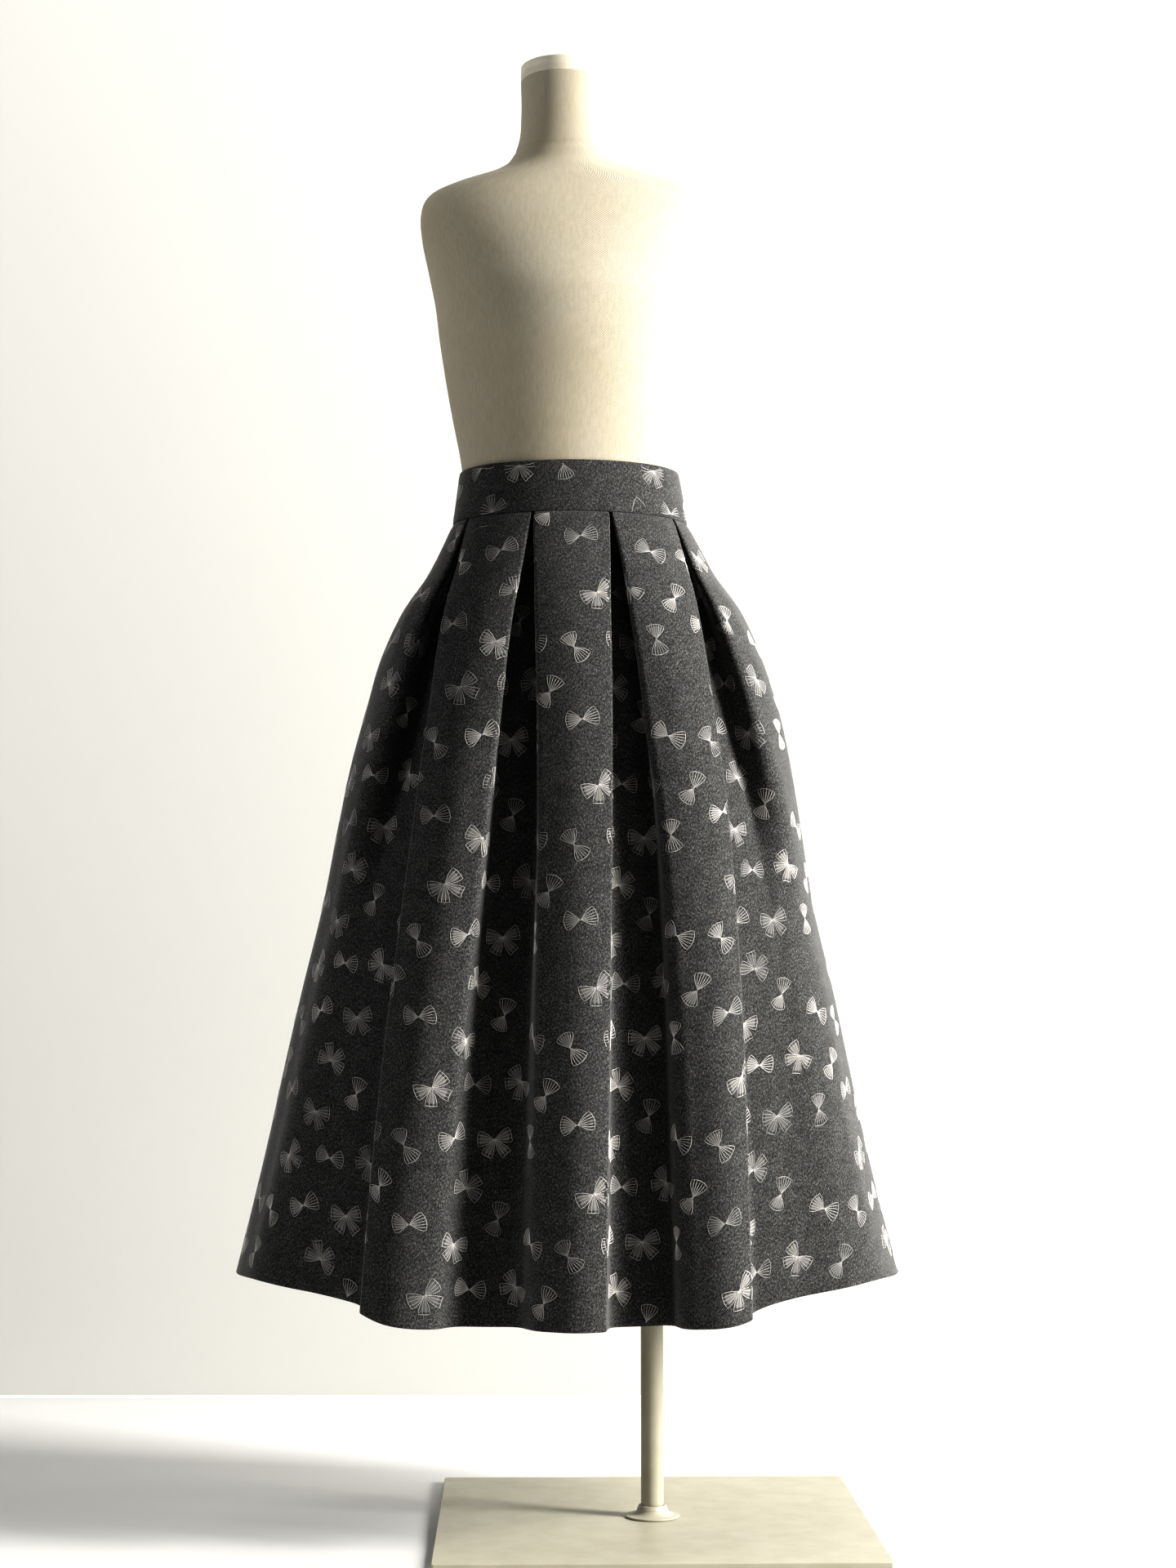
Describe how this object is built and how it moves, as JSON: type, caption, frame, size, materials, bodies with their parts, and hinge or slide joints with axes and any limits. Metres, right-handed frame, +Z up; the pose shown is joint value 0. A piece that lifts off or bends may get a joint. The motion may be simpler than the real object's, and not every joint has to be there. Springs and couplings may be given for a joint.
{
  "type": "pleated circle-style skirt on a limbless dress form",
  "caption": "Flared midi skirt of dark wool flannel with inverted pleats, wide waistband and side pockets, on a limbless dress form with an off-centre pole and square base plate.",
  "frame": {"origin": "the underside of the base plate, straight below the middle of the dress form", "axes": "+Z up, -Y towards the front of the skirt, +X to the right as seen from the front"},
  "size_m": [0.7484, 0.4908, 1.67],
  "materials": {
    "flannel": "matt melange wool flannel with scattered line-stitched bows",
    "pocket_lining": "matt dark plain-weave lining",
    "zip_tape": "matt woven tape",
    "zip_metal": "dark plated metal, satin",
    "form_cloth": "matt cream cotton twill",
    "cap_paint": "painted cream, satin",
    "stand_paint": "cream paint, low satin"
  },
  "bodies": {
    "root": {"waistband": "flannel", "skirt_front": "flannel", "skirt_back_left": "flannel", "skirt_back_right": "flannel", "pocket_left": "pocket_lining", "pocket_right": "pocket_lining", "zip_tape": "zip_tape", "zip_slider": "zip_metal", "form_torso": "form_cloth", "form_neck_cap": "cap_paint", "pole_socket": "stand_paint", "pole": "stand_paint", "pole_flange": "stand_paint", "base_plate": "stand_paint"},
    "pull_tab": {"zip_pull": "zip_metal"}
  },
  "joints": [
    {"name": "zip_pull_hinge", "type": "hinge", "parent": "root", "child": "pull_tab", "pos_m": [0.00126, 0.10235, 1.17915], "axis": [1, 0, 0], "range_deg": [0, 165]}
  ]
}
